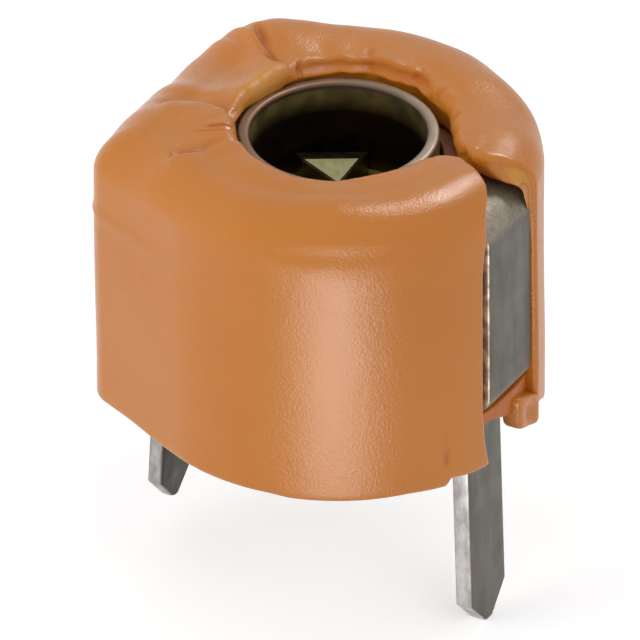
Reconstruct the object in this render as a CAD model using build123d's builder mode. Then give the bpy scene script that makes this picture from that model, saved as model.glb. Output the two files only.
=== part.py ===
"""Trimmer capacitor: a ceramic disc trimmer in a moulded cover, with two flat leads for a board.

The origin lies on the rotor's axis, level with the cover's underside, which rests on the board.
+Z runs up the axis and +X points from the axis to the rotor's terminal, seen in the cover's slot.
"""

from build123d import *
import math
import os

os.makedirs("parts", exist_ok=True)

# Driving sizes in millimetres and degrees

# leads and the strip that both terminals are stamped from
lead_pitch = 5.0
lead_shift = 0.255
lead_width = 0.95
lead_tip_width = 0.22
lead_tip_height = 0.42
rotor_lead_length = 3.1
stator_lead_length = 2.75
rotor_lead_splay = 1.1
strip_thickness = 0.25
strap_width = 1.24
fold_radius = 0.18
joggle_depth = 0.48
joggle_height = 1.03

# moulded cover
cover_wall = 0.25
side_turn = 66.0
corner_radius = 0.6
crown_thickness = 0.63
crown_lean = 2.3
crown_round = 0.58
lip_round = 0.2
strap_recess = 0.15
notch_width = 0.2
notch_flare = 0.3
ceiling_round = 0.35
sill_bottom = 0.25
sill_wall = 0.36
sill_bond = 0.02
bead_height = 0.58
bead_round = 0.14
bead_proud = 0.03

# ceramic stator and rotor disc with their silver films
stator_recess = 0.15
stator_thickness = 2.05
disc_thickness = 0.5
disc_margin = 0.3
strip_margin = 0.33
collar_margin = 0.21
film_thickness = 0.05
film_margin = 0.06
stator_film_hole = 0.95
land_overlap = 0.3

# turned adjuster
tube_radius = 1.478
tube_wall = 0.18
tube_depth = 1.21
rim_round = 0.05
floor_thickness = 0.2
recess_depth = 0.3
recess_margin = 0.15
land_point = 0.49
arm_flare = 11.5
arm_turn = 75.0
flange_thickness = 0.48
spindle_radius = 0.6
spindle_recess = 0.25
spindle_chamfer = 0.1
solder_leg = 0.16

# dished spring and the yoke above it
spring_height = 0.48
spring_thickness = 0.14
spring_band = 0.352
spring_slots = 6
spring_slot_width = 0.16
spring_slot_depth = 0.16
yoke_band = 0.5

# Clearances
strip_gap = 0.02
stator_gap = 0.03
running_gap = 0.02
spindle_gap = 0.03
touch_gap = 0.01
yoke_gap = 0.05
slot_gap = 0.06
ceiling_gap = 0.03
opening_gap = 0.145
sill_gap = 0.04
tab_gap = 0.1

# Places across the part, worked out from the adjuster and the leads outwards
bore_radius = tube_radius - tube_wall
opening_radius = tube_radius + opening_gap
yoke_hole_radius = tube_radius + yoke_gap
spring_inside = tube_radius + yoke_gap
spring_outside = spring_inside + spring_band
flange_radius = spring_outside + yoke_gap
collar_radius = flange_radius + solder_leg
disc_radius = collar_radius + collar_margin
film_radius = disc_radius - film_margin
# the leads keep their pitch, and stand further out where the disc needs the room
stator_lead_room = disc_radius + strip_margin + strip_thickness / 2
stator_lead_x = -max(lead_pitch / 2 + lead_shift, stator_lead_room)
rotor_lead_x = stator_lead_x + lead_pitch
strap_room = disc_radius + disc_margin + strip_thickness / 2
strap_x = max(rotor_lead_x + joggle_depth, strap_room)
strap_face = strap_x + strip_thickness / 2
strap_back = strap_x - strip_thickness / 2
strip_back = -stator_lead_x - strip_thickness / 2
cover_radius = strap_face + strap_recess
cover_flat = -stator_lead_x + strip_thickness / 2 + strip_gap + cover_wall
inside_radius = cover_radius - cover_wall
inside_flat = cover_flat - cover_wall
inside_corner = max(corner_radius - cover_wall, 0.1)
slot_width = strap_width + 2 * slot_gap

# Heights, stacked up from the board
stator_bottom = stator_recess
stator_top = stator_bottom + stator_thickness
stator_film_top = stator_top + film_thickness
disc_bottom = stator_film_top + running_gap
disc_top = disc_bottom + disc_thickness
rotor_film_top = disc_top + film_thickness
flange_top = rotor_film_top + flange_thickness
recess_floor = rotor_film_top + floor_thickness
land_top = recess_floor + recess_depth
rim_top = land_top + tube_depth
spring_bottom = flange_top + touch_gap
spring_top = spring_bottom + spring_height
yoke_bottom = spring_top + touch_gap
yoke_top = yoke_bottom + strip_thickness
ceiling = yoke_top + ceiling_gap
cover_top = ceiling + crown_thickness
sill_top = joggle_height - sill_gap


def housing_outline(radius, flat, corner):
    """Round front, two straight sides tangent to it and a flat end with rounded corners."""
    side = 180 - side_turn
    touch_x = radius * math.cos(math.radians(side))
    touch_y = radius * math.sin(math.radians(side))
    corner_y = (radius + flat * math.cos(math.radians(side))) / math.sin(math.radians(side))
    with BuildSketch() as outline:
        with BuildLine():
            CenterArc((0, 0), radius, -side, 2 * side)
            Polyline(
                (touch_x, touch_y),
                (-flat, corner_y),
                (-flat, -corner_y),
                (touch_x, -touch_y),
            )
        make_face()
        fillet(outline.vertices().group_by(Axis.X)[0], radius=corner)
    return outline.sketch


def lead_blade(length, rise):
    """Flat lead seen square on, from a height above the board down to its blunt point."""
    half = lead_width / 2
    tip = lead_tip_width / 2
    shoulder = -length + lead_tip_height
    with BuildSketch() as blade:
        with BuildLine():
            Polyline(
                (-half, rise),
                (-half, shoulder),
                (-tip, -length),
                (tip, -length),
                (half, shoulder),
                (half, rise),
                close=True,
            )
        make_face()
    return blade.sketch


# Outlines shared by pieces that fit in each other
cover_face = housing_outline(cover_radius, cover_flat, corner_radius)
cavity_face = housing_outline(inside_radius, inside_flat, inside_corner)
stator_face = housing_outline(inside_radius - stator_gap, inside_flat - stator_gap, inside_corner)

# The space inside the cover, open at its foot
with BuildPart() as cavity:
    with BuildSketch():
        add(cavity_face)
    extrude(amount=ceiling)
    ceiling_edges = cavity.faces().sort_by(Axis.Z)[-1].edges()
    fillet(ceiling_edges, radius=min(ceiling_round, inside_corner - 0.02))

# Cover: a moulded cap with a crowned top, a round opening over the adjuster and a slot for the strap
with BuildPart() as cover:
    with BuildSketch():
        add(cover_face)
    extrude(amount=cover_top + cover_radius)
    # the crown leans, and is highest over the far side
    lean = math.radians(crown_lean)
    crown_plane = Plane(origin=(0, 0, cover_top), z_dir=(0, -math.sin(lean), math.cos(lean)))
    split(bisect_by=crown_plane, keep=Keep.BOTTOM)
    crown_edges = cover.faces().sort_by(Axis.Z)[-1].edges()
    fillet(crown_edges, radius=min(crown_round, corner_radius - 0.02))
    add(cavity.part, mode=Mode.SUBTRACT)
    with BuildSketch(Plane.XY.offset(ceiling - ceiling_round)):
        Circle(opening_radius)
    extrude(amount=cover_top, mode=Mode.SUBTRACT)
    # the lip is the opening's edge in the leaning crown
    lip_edge = cover.edges().filter_by(
        lambda edge: all(
            abs(math.hypot((edge @ share).X, (edge @ share).Y) - opening_radius) < 1e-3
            and (edge @ share).Z > ceiling + lip_round
            for share in (0, 0.3, 0.6)
        )
    )
    fillet(lip_edge, radius=lip_round)
    # the slot runs up the round front as far as the strap's upper bend
    with BuildSketch(Plane.YZ.offset(strap_back - slot_gap)):
        with Locations((0, ceiling / 2)):
            Rectangle(slot_width, ceiling)
    extrude(amount=cover_radius, mode=Mode.SUBTRACT)
    # above the strap the slot narrows to a notch, flares again and runs into the opening
    with BuildSketch(Plane.XY.offset(ceiling - ceiling_gap)):
        Polygon(
            (opening_radius - notch_flare, -notch_width / 2),
            (strap_x - 2 * notch_flare, -notch_width / 2),
            (strap_x, -strap_width / 3),
            (cover_radius, -slot_width / 2),
            (cover_radius + notch_flare, -slot_width / 2),
            (cover_radius + notch_flare, slot_width / 2),
            (strap_face, slot_width / 2),
            (strap_x, notch_width),
            (strap_x - notch_flare - notch_width, notch_width / 2),
            (opening_radius - notch_flare, notch_width / 2 + notch_flare),
            align=None,
        )
    extrude(amount=cover_top, mode=Mode.SUBTRACT)
    # a sunk sill closes the slot's foot, in front of the lead
    with BuildSketch(Plane.XY.offset(sill_bottom)):
        Circle(inside_radius + sill_wall / 4)
        Circle(inside_radius + sill_wall / 4 - sill_wall, mode=Mode.SUBTRACT)
        with Locations((cover_radius, 0)):
            Rectangle(cover_radius, slot_width + 2 * sill_bond, mode=Mode.INTERSECT)
    extrude(amount=sill_top - sill_bottom)
    # a bead of spilt plastic stands in the corner between the sill and the slot's far side
    with BuildSketch(Plane.YZ.offset(inside_radius - sill_wall / 2)):
        with Locations((slot_width / 4 + sill_bond, bead_proud + bead_height / 2)):
            RectangleRounded(slot_width / 2, bead_height, bead_round)
    extrude(amount=sill_wall / 2 + cover_wall / 2 + bead_proud)

# Stator: the ceramic block that fills the cover's foot, drilled for the spindle
with BuildPart() as stator:
    with BuildSketch(Plane.XY.offset(stator_bottom)):
        add(stator_face)
        Circle(spindle_radius + spindle_gap, mode=Mode.SUBTRACT)
    extrude(amount=stator_thickness)
    # one channel in the flat end for the stator's terminal, open at the foot and at the top
    channel_width = strap_width + 2 * strip_gap
    with BuildSketch(Plane.YZ.offset(-(strip_back - strip_gap))):
        with Locations((0, stator_top / 2)):
            Rectangle(channel_width, 2 * stator_top)
    extrude(amount=-cover_flat, mode=Mode.SUBTRACT)
    # a shallow channel for the strap, and a deeper one where the lead runs below the joggle
    with BuildSketch(Plane.YZ.offset(strap_back - strip_gap)):
        with Locations((0, stator_top / 2)):
            Rectangle(slot_width, 2 * stator_top)
    extrude(amount=cover_radius, mode=Mode.SUBTRACT)
    with BuildSketch(Plane.YZ.offset(rotor_lead_x - strip_thickness / 2 - strip_gap)):
        with Locations((0, (joggle_height + strip_thickness + strip_gap) / 2)):
            Rectangle(
                slot_width + 2 * (sill_bond + stator_gap),
                joggle_height + strip_thickness + strip_gap,
            )
    extrude(amount=cover_radius, mode=Mode.SUBTRACT)

# Stator electrode: a half ring of silver film, with a land that the terminal's tab lies on
with BuildPart() as stator_electrode:
    land_width = strap_width + 2 * solder_leg + 2 * film_margin
    land_start = film_radius - land_overlap
    land_end = strip_back - strip_gap
    with BuildSketch(Plane.XY.offset(stator_top)):
        Circle(film_radius)
        with Locations((-film_radius / 2, 0)):
            Rectangle(film_radius, 2 * film_radius, mode=Mode.INTERSECT)
        with Locations((-(land_start + land_end) / 2, 0)):
            Rectangle(land_end - land_start, land_width)
        Circle(stator_film_hole, mode=Mode.SUBTRACT)
    extrude(amount=film_thickness)

# Stator terminal: strip folded over the stator's flat end, with the lead below it
tab_height = stator_film_top + strip_thickness / 2
tab_end = -(disc_radius + tab_gap)
with BuildPart() as stator_terminal:
    with BuildSketch(Plane.XZ):
        with BuildLine():
            FilletPolyline(
                (tab_end, tab_height),
                (stator_lead_x, tab_height),
                (stator_lead_x, stator_bottom + sill_bottom),
                radius=strip_thickness * 0.6,
            )
        trace(line_width=strip_thickness)
    extrude(amount=strap_width / 2, both=True)
    with BuildSketch(Plane.YZ.offset(stator_lead_x)):
        add(lead_blade(stator_lead_length, stator_bottom + 2 * sill_bottom))
    extrude(amount=strip_thickness / 2, both=True)

# Stator solder: a fillet along each side of the tab
with BuildPart() as stator_solder:
    fillet_reach = -tab_end
    with BuildSketch(Plane.YZ.offset(-(strip_back - strip_gap))):
        with BuildLine():
            Polyline(
                (strap_width / 2 + touch_gap, stator_film_top),
                (strap_width / 2 + touch_gap + solder_leg, stator_film_top),
                (strap_width / 2 + touch_gap, stator_film_top + solder_leg),
                close=True,
            )
        make_face()
        mirror(about=Plane.YZ)
    extrude(amount=strip_back - strip_gap - fillet_reach)

# Rotor disc: the thin ceramic dielectric, carried by the spindle
with BuildPart() as rotor_disc:
    with BuildSketch(Plane.XY.offset(disc_bottom)):
        Circle(disc_radius)
        Circle(spindle_radius + touch_gap, mode=Mode.SUBTRACT)
    extrude(amount=disc_thickness)

# Rotor electrode: a half disc of silver film and a collar all round under the flange
with BuildPart() as rotor_electrode:
    with BuildSketch(Plane.XY.offset(disc_top)):
        Circle(film_radius)
        with Locations((-film_radius / 2, 0)):
            Rectangle(film_radius, 2 * film_radius, mode=Mode.INTERSECT)
        Circle(collar_radius)
        Circle(spindle_radius + touch_gap, mode=Mode.SUBTRACT)
    extrude(amount=film_thickness)

# Adjuster: one turned brass piece, a tube with a screwdriver recess, a flange and a spindle
with BuildPart() as adjuster:
    spindle_end = stator_bottom + spindle_recess
    with BuildSketch(Plane.XZ):
        with BuildLine():
            Polyline(
                (0, spindle_end),
                (spindle_radius - spindle_chamfer, spindle_end),
                (spindle_radius, spindle_end + spindle_chamfer),
                (spindle_radius, rotor_film_top),
                (flange_radius, rotor_film_top),
                (flange_radius, flange_top),
                (tube_radius, flange_top),
                (tube_radius, rim_top),
                (bore_radius, rim_top),
                (bore_radius, land_top),
                (0, land_top),
                close=True,
            )
        make_face()
    revolve(axis=Axis.Z)
    rim_edges = adjuster.edges().filter_by(GeomType.CIRCLE).group_by(Axis.Z)[-1]
    fillet(rim_edges, radius=rim_round)
    # a cross for the adjusting tool is sunk in the floor; its arms flare and leave four pointed lands
    arm_root = land_point * math.cos(math.radians(45))
    arm_reach = bore_radius - recess_margin
    arm_half = arm_root + (arm_reach - arm_root) * math.tan(math.radians(arm_flare))
    with BuildSketch(Plane.XY.offset(recess_floor)):
        with PolarLocations(0, 4, start_angle=arm_turn):
            Polygon(
                (0, 0),
                (arm_root, -arm_root),
                (arm_reach, -arm_half),
                (arm_reach, arm_half),
                (arm_root, arm_root),
                align=None,
            )
    extrude(amount=recess_depth, mode=Mode.SUBTRACT)

# Rotor solder: a fillet all round the flange's foot
with BuildPart() as rotor_solder:
    solder_inside = flange_radius + touch_gap
    with BuildSketch(Plane.XZ):
        with BuildLine():
            Polyline(
                (solder_inside, rotor_film_top),
                (collar_radius, rotor_film_top),
                (solder_inside, rotor_film_top + solder_leg),
                close=True,
            )
        make_face()
    revolve(axis=Axis.Z)

# Spring washer: a dished ring with slots in its foot, which keeps the rotor down on the stator
with BuildPart() as spring_washer:
    with BuildSketch(Plane.XZ):
        with BuildLine():
            Polyline(
                (spring_inside, spring_top - spring_thickness),
                (spring_outside, spring_bottom),
                (spring_outside, spring_bottom + spring_thickness),
                (spring_inside, spring_top),
                close=True,
            )
        make_face()
    revolve(axis=Axis.Z)
    with BuildSketch(Plane.XY.offset(spring_bottom)):
        with PolarLocations(spring_outside, spring_slots):
            Rectangle(2 * spring_slot_depth, spring_slot_width)
    extrude(amount=spring_height, mode=Mode.SUBTRACT)

# Rotor terminal: yoke, strap, joggle and lead, folded from one strip
joggle_mid = joggle_height + strip_thickness / 2
yoke_mid = yoke_bottom + strip_thickness / 2
with BuildPart() as rotor_terminal:
    with BuildSketch(Plane.XZ):
        with BuildLine():
            FilletPolyline(
                (yoke_hole_radius + yoke_band / 2, yoke_mid),
                (strap_x, yoke_mid),
                (strap_x, joggle_mid),
                (rotor_lead_x, joggle_mid),
                (rotor_lead_x, joggle_mid - strip_thickness),
                radius=[fold_radius + strip_thickness / 2, fold_radius, fold_radius],
            )
        trace(line_width=strip_thickness)
    extrude(amount=strap_width / 2, both=True)
    with BuildSketch(Plane.XY.offset(yoke_bottom)):
        Circle(yoke_hole_radius + yoke_band)
        Circle(yoke_hole_radius, mode=Mode.SUBTRACT)
    extrude(amount=strip_thickness)
    splay = math.radians(rotor_lead_splay)
    blade_plane = Plane(
        origin=(rotor_lead_x, 0, 0),
        x_dir=(0, 1, 0),
        z_dir=(math.cos(splay), 0, math.sin(splay)),
    )
    with BuildSketch(blade_plane):
        add(lead_blade(rotor_lead_length, joggle_mid - strip_thickness / 2))
    extrude(amount=strip_thickness / 2, both=True)

pieces = {
    "cover": cover,
    "stator": stator,
    "stator_electrode": stator_electrode,
    "stator_terminal": stator_terminal,
    "stator_solder": stator_solder,
    "rotor_disc": rotor_disc,
    "rotor_electrode": rotor_electrode,
    "adjuster": adjuster,
    "rotor_solder": rotor_solder,
    "spring_washer": spring_washer,
    "rotor_terminal": rotor_terminal,
}
for name, piece in pieces.items():
    piece.part.label = name
    export_step(piece.part, f"parts/{name}.step")
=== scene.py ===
"""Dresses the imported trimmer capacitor: moulded cover, folded strips, turned adjuster and a plain stage.

Sizes in the surface functions are millimetres, angles are degrees, and turns run round the rotor's axis
from +X towards +Y.
"""

from collections import namedtuple

import bmesh
import bpy
import numpy as np
from mathutils import Matrix, Vector


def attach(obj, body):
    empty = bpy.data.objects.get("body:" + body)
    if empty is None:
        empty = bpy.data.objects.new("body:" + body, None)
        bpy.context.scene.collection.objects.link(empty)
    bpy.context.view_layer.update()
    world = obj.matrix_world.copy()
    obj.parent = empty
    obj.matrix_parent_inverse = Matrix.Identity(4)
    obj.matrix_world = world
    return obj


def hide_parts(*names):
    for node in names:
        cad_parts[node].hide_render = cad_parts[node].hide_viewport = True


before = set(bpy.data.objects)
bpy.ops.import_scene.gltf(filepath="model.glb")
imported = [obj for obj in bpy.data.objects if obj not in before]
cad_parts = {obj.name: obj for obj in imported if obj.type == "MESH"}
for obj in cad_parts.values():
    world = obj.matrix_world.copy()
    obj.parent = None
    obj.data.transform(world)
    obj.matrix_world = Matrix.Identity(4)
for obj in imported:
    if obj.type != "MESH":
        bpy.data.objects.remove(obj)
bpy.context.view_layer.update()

bl_info = {
    "name": "Trimmer Capacitor",
    "version": (1, 0, 0),
    "blender": (4, 5, 0),
    "location": "3D View > Sidebar > Trimmer",
    "description": "Builds the visible pieces of a ceramic disc trimmer capacitor round its packed frame",
    "category": "Add Mesh",
}

MM = 0.001


# Settings

def length_setting(name, description, default):
    """A length in metres."""
    return bpy.props.FloatProperty(
        name=name, description=description, default=default, subtype="DISTANCE")


def angle_setting(name, description, degrees):
    """An angle, given here in degrees."""
    return bpy.props.FloatProperty(
        name=name, description=description, default=np.radians(degrees), subtype="ANGLE")


def colour_setting(name, description, default):
    """A colour."""
    return bpy.props.FloatVectorProperty(
        name=name, description=description, default=default, subtype="COLOR", size=3, min=0.0, max=1.0)


class TrimmerCoverSettings(bpy.types.PropertyGroup):
    """Sizes and colours of the moulded cover."""

    radius: length_setting("Radius", "Radius of the round front", 0.003)
    flat: length_setting("Flat end", "Distance from the axis to the flat end", 0.00315)
    corner: length_setting("Corner", "Radius of the two upright corners", 0.0005)
    wall: length_setting("Wall", "Thickness of the upright wall", 0.00025)
    shoulder: length_setting("Shoulder", "How far in from the wall the rounded shoulder reaches", 0.00078)
    ceiling: length_setting("Ceiling", "Height of the space inside", 0.00408)
    colour: colour_setting("Colour", "Orange of the moulding", (0.52, 0.168, 0.012))
    pale_colour: colour_setting("Pale colour", "Paler orange of its slow variation", (0.54, 0.182, 0.019))
    # painted shade: this deeper orange darkens creases, hollows, the nick, the sunk sill and the bead's
    # dish; on torn edges it is partly their own colour and partly painted shade
    shade_and_torn_colour: colour_setting(
        "Torn colour", "Deeper orange in creases and on torn edges", (0.43, 0.108, 0.002))
    wax_colour: colour_setting(
        "Wax colour", "Yellower orange where melted plastic has set smooth", (0.56, 0.235, 0.035))


class TrimmerStripSettings(bpy.types.PropertyGroup):
    """Sizes and colours of the strip that both terminals are stamped from."""

    thickness: length_setting("Thickness", "Thickness of the strip", 0.00025)
    width: length_setting("Strap width", "Width of the strap and the tab", 0.00124)
    lead_width: length_setting("Lead width", "Width of the leads", 0.00102)
    colour: colour_setting("Colour", "Dull tin on the strip's faces", (0.139, 0.129, 0.110))
    cut_colour: colour_setting("Cut colour", "Brass where the strip is cut", (0.62, 0.53, 0.40))


class TrimmerAdjusterSettings(bpy.types.PropertyGroup):
    """Sizes and colours of the turned adjuster."""

    tube: length_setting("Tube radius", "Outer radius of the tube", 0.001478)
    bore: length_setting("Bore radius", "Inner radius of the tube", 0.001298)
    rim: length_setting("Rim height", "Height of the tube's rim", 0.00453)
    land: length_setting(
        "Land height", "Height of the four lands near the middle of their slopes", 0.00332)
    floor: length_setting("Floor height", "Height of the cross recess's floor", 0.00302)
    colour: colour_setting("Colour", "Worn plating on the rim", (0.29, 0.235, 0.18))
    bore_colour: colour_setting("Bore colour", "Stained metal inside the bore", (0.32, 0.25, 0.10))
    land_colour: colour_setting("Land colour", "Bright brass of the lands", (0.31, 0.285, 0.145))


class TrimmerStageSettings(bpy.types.PropertyGroup):
    """Camera and floor."""

    azimuth: angle_setting("Azimuth", "Camera's turn round the part", 29.5)
    elevation: angle_setting("Elevation", "Camera's height above the horizon", 32.0)
    roll: angle_setting("Roll", "Camera's turn about its own axis", 0.5)
    distance: length_setting("Distance", "Camera's distance", 0.3)
    frame_width: length_setting("Frame width", "Width that the square picture shows at the part", 0.009391)
    floor_colour: colour_setting("Floor colour", "Pale floor", (0.85, 0.85, 0.86))


# Mesh helpers

def grid_faces(rows, columns, close_rows=False, close_columns=False, start=0):
    """Quads between neighbours of a grid that is stored row by row from the point number start.

    Quad (i, j) joins points (i, j), (i, j+1), (i+1, j+1) and (i+1, j), counted round where a side closes.
    """
    i, j = np.meshgrid(
        np.arange(rows if close_rows else rows - 1),
        np.arange(columns if close_columns else columns - 1),
        indexing="ij",
    )
    below, beside = (i + 1) % rows, (j + 1) % columns
    corners = (i * columns + j, i * columns + beside, below * columns + beside, below * columns + j)
    return np.stack(corners, axis=-1).reshape(-1, 4) + start


def tube_faces(rows, count):
    """Faces of a grid whose rows are closed rings, with a polygon over its first and its last ring."""
    ends = [list(range(count)), list(range((rows - 1) * count, rows * count))]
    return grid_faces(rows, count, close_columns=True).tolist() + ends


def polar_points(radius, turns, height):
    """Points (r cos t, r sin t, z) for radii, turns and heights that broadcast against each other."""
    angle = np.radians(turns)
    return np.stack(np.broadcast_arrays(radius * np.cos(angle), radius * np.sin(angle), height), axis=-1)


def add_piece(name, points, faces, material, body, marks=None, replaces=(), sharp_above=None):
    """Makes one object at the origin from points in millimetres, hangs it under its body's empty and hides
    any imported parts that it replaces.

    marks holds point attributes by name, which materials read. Edges stay hard where two faces meet at
    more than sharp_above degrees.
    """
    mesh = bpy.data.meshes.new(name)
    mesh.from_pydata((np.reshape(points, (-1, 3)) * MM).tolist(), [], faces)
    for key, values in (marks or {}).items():
        mesh.attributes.new(key, "FLOAT", "POINT").data.foreach_set("value", np.ravel(values))
    mesh.shade_smooth()
    shell = bmesh.new()
    shell.from_mesh(mesh)
    bmesh.ops.recalc_face_normals(shell, faces=shell.faces)
    if sharp_above is not None:
        for edge in shell.edges:
            edge.smooth = bool(edge.calc_face_angle(0.0) < np.radians(sharp_above))
    shell.to_mesh(mesh)
    shell.free()
    mesh.materials.append(material)
    piece = bpy.data.objects.new(name, mesh)
    bpy.context.collection.objects.link(piece)
    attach(piece, body)
    if replaces:
        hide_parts(*replaces)
    return piece


def ease(value, low, high):
    """0 below low, 1 above high, and 3t^2 - 2t^3 between them."""
    share = np.clip((value - low) / (high - low), 0.0, 1.0)
    return share * share * (3.0 - 2.0 * share)


def turn_table(turns, table):
    """Value at each turn by a smooth periodic blend through rows of (turn, value).

    Between two rows the value is a + (b - a) s, with s = 3t^2 - 2t^3 and t the share of the way.
    """
    rows = np.array(sorted(table))
    knots = np.append(rows[:, 0], rows[0, 0] + 360.0)
    values = np.append(rows[:, 1], rows[0, 1])
    place = (turns - knots[0]) % 360.0 + knots[0]
    index = np.clip(np.searchsorted(knots, place, side="right") - 1, 0, len(knots) - 2)
    share = ease(place, knots[index], knots[index + 1])
    return values[index] + (values[index + 1] - values[index]) * share


def hump(value, middle, width):
    """exp(-((value - middle) / width)^2), 1 at the middle."""
    return np.exp(-((value - middle) / width) ** 2)


# Cover

# turn, lip radius: the ragged opening round the tube, wider towards the slot and over the yoke
LIP_RADIUS = [
    (0, 1.86), (11, 1.80), (22, 1.69), (34, 1.64), (46, 1.67), (57, 1.60), (67, 1.60), (74, 1.66),
    (80, 1.60), (88, 1.55), (95, 1.58), (105, 1.56), (112, 1.52), (118, 1.55), (124, 1.53), (134, 1.52),
    (141, 1.50), (150, 1.45), (158, 1.44), (170, 1.46), (180, 1.50), (190, 1.50), (205, 1.52),
    (221, 1.52), (238, 1.52), (252, 1.54), (266, 1.57), (276, 1.61), (286, 1.60), (298, 1.63),
    (303, 1.61), (308, 1.59), (318, 1.57), (331, 1.55), (345, 1.57), (353, 1.64),
]
# turn, height of the crown next to the shoulder
CROWN_HEIGHT = [
    (0, 4.64), (30, 4.66), (45, 4.69), (60, 4.725), (79, 4.75), (95, 4.775), (107, 4.77), (119, 4.805),
    (131, 4.84), (139, 4.86), (143, 4.84), (147, 4.74), (151, 4.56), (159, 4.42), (172, 4.46),
    (184, 4.54), (192, 4.59), (201, 4.63), (215, 4.61), (240, 4.64), (270, 4.67), (300, 4.70),
    (325, 4.715), (345, 4.70),
]
# turn, height of the crown at the lip
LIP_HEIGHT = [
    (0, 4.66), (30, 4.64), (60, 4.68), (95, 4.72), (120, 4.73), (150, 4.72), (170, 4.66), (190, 4.66),
    (210, 4.69), (240, 4.73), (270, 4.72), (300, 4.715), (325, 4.72), (345, 4.715),
]
# turn, width of the rounding from the crown into the opening
LIP_ROUND = [
    (0, 0.20), (30, 0.22), (60, 0.20), (90, 0.19), (112, 0.17), (130, 0.20), (150, 0.17), (158, 0.22),
    (172, 0.24), (184, 0.17), (200, 0.18), (270, 0.18), (330, 0.20),
]
# turn, power of the shoulder's superellipse: 0.9 is full, above 1 is flatter
SHOULDER_POWER = [
    (0, 0.9), (135, 0.9), (147, 1.1), (160, 0.95), (195, 0.92), (207, 1.14), (222, 1.18), (238, 0.9),
]
# turn, height of the wall's foot: the corner by the slot is cut short, and the foot is stepped in front
FOOT_HEIGHT = [
    (13, 0.24), (19, 0.17), (25, 0.0), (185, 0.0), (200, 0.05), (222, 0.05), (240, 0.0), (278, 0.0),
    (286, -0.03), (305, -0.03), (318, -0.02), (330.5, -0.05), (331.8, 0.05), (340, 0.0), (346, 0.0),
]
# place along the section, turn of the slot's edge: the place is the height on the wall, and above
# the shoulder's start it goes on by the distance in from the wall
SLOT_NEAR = [
    (0.0, -13.9), (0.4, -15.5), (0.8, -16.2), (1.2, -16.5), (2.6, -16.4), (3.3, -16.2), (3.6, -15.5),
    (3.92, -14.3), (4.0, -12.4), (4.1, -9.8), (4.24, -7.4), (4.45, -5.4), (4.72, -2.6), (4.97, -1.6),
    (5.1, -2.6), (5.4, -5.0),
]
SLOT_FAR = [
    (0.0, 13.1), (3.6, 13.1), (3.9, 12.9), (4.0, 12.4), (4.1, 11.0), (4.23, 8.5), (4.47, 5.4),
    (4.61, 4.6), (4.9, 5.5), (5.06, 6.5), (5.2, 9.0), (5.4, 10.5),
]
SLOT_NEAR_INSIDE = [(0.0, -14.3), (3.9, -14.3), (4.1, -11.0), (4.45, -7.5), (4.9, -5.0), (5.4, -7.0)]
SLOT_FAR_INSIDE = [
    (0.0, 14.3), (3.1, 14.2), (3.35, 12.6), (3.6, 10.4), (3.8, 8.3), (3.92, 7.2), (4.0, 6.8), (4.1, 6.5),
    (4.3, 6.3), (4.6, 6.2), (5.0, 7.5), (5.4, 11.0),
]
# turns of the slot's far and near edges that the columns are spread between, before each row's own
# edges draw in the columns within EDGE_SHARE of them
SLOT_TURNS = (13.1, 345.7)
EDGE_SHARE = 0.09
# the cover's section runs up the wall, over the shoulder, along the crown and down into the lip
WALL, SHOULDER, CROWN, LIP = range(4)
WALL_ROWS = [0.0, 0.012, 0.035, 0.07, 0.14, 0.22, 0.32, 0.45, 0.62, 1.1, 1.8, 2.5, 2.95, 3.15, 3.26,
             3.35, 3.44, 3.58, 3.75]
SHOULDER_ROWS = 24
CROWN_ROWS = 16
LIP_ROWS = 24
COVER_COLUMNS = 560
# columns across the wall at each edge of the slot
CAP_COLUMNS = 7
# turn at which the round front passes into a straight side
SIDE_TURN = 114.0
# height at which the wall passes into the shoulder
SHOULDER_START = 3.9
# width and height of the foot's small rounding
FOOT_ROUND = (0.05, 0.07)
# where the lip starts on the scale of places, counted from the wall, and its length there
LIP_PLACE = 1.2
LIP_LENGTH = 0.25
# share of the lip's rows that turn down, and how far they fall, as a multiple of its rounding
LIP_BEND = 0.75
LIP_FALL = 1.1
# radius of the inner round between the wall and the ceiling
CEILING_FILLET = 0.3


def outline_radius(turns, radius, flat, corner):
    """Distance from the axis to the cover's outline at each turn.

    The outline is a circle arc of that radius to the turns +-SIDE_TURN, straight lines tangent to it
    there, a flat end at x = -flat and corners of radius corner. On a line with unit normal n at distance
    h the radius is h / (n . d) along the direction d. On a corner with its centre C it is
    C . d + sqrt(corner^2 - |C x d|^2).
    """
    turn = np.abs((turns + 180.0) % 360.0 - 180.0)
    angle, lean = np.radians(turn), np.radians(SIDE_TURN)
    centre_x = -(flat - corner)
    centre_y = (radius - corner - centre_x * np.cos(lean)) / np.sin(lean)
    start = np.degrees(np.arctan2(centre_y + corner * np.sin(lean), centre_x + corner * np.cos(lean)))
    end = np.degrees(np.arctan2(centre_y, -flat))
    along = centre_x * np.cos(angle) + centre_y * np.sin(angle)
    across = centre_x * np.sin(angle) - centre_y * np.cos(angle)
    rounded = along + np.sqrt(np.maximum(corner ** 2 - across ** 2, 0.0))
    straight = radius / np.maximum(np.cos(angle - lean), 0.2)
    square = flat / np.maximum(-np.cos(angle), 0.2)
    return np.select([turn <= SIDE_TURN, turn <= start, turn <= end], [radius, straight, rounded], square)


def cover_columns(count):
    """Shares from 0 at the slot's far edge to 1 at its near edge, closer at both ends and over the folds.

    The shares are the running sum of a density, 1 plus a hump over the flat end plus steep humps at
    the two ends, scaled to end at 1.
    """
    flat_end, flat_reach, edge_reach = 0.56, 0.17, 0.006
    share = np.linspace(0.0, 1.0, 4000)
    density = 1.0 + 1.1 * np.exp(-((share - flat_end) / flat_reach) ** 4)
    density += 9.0 * np.exp(-share / edge_reach) + 9.0 * np.exp(-(1.0 - share) / edge_reach)
    running = np.concatenate([[0.0], np.cumsum((density[1:] + density[:-1]) / 2)])
    return np.interp(np.linspace(0.0, 1.0, count), running / running[-1], share)


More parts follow.
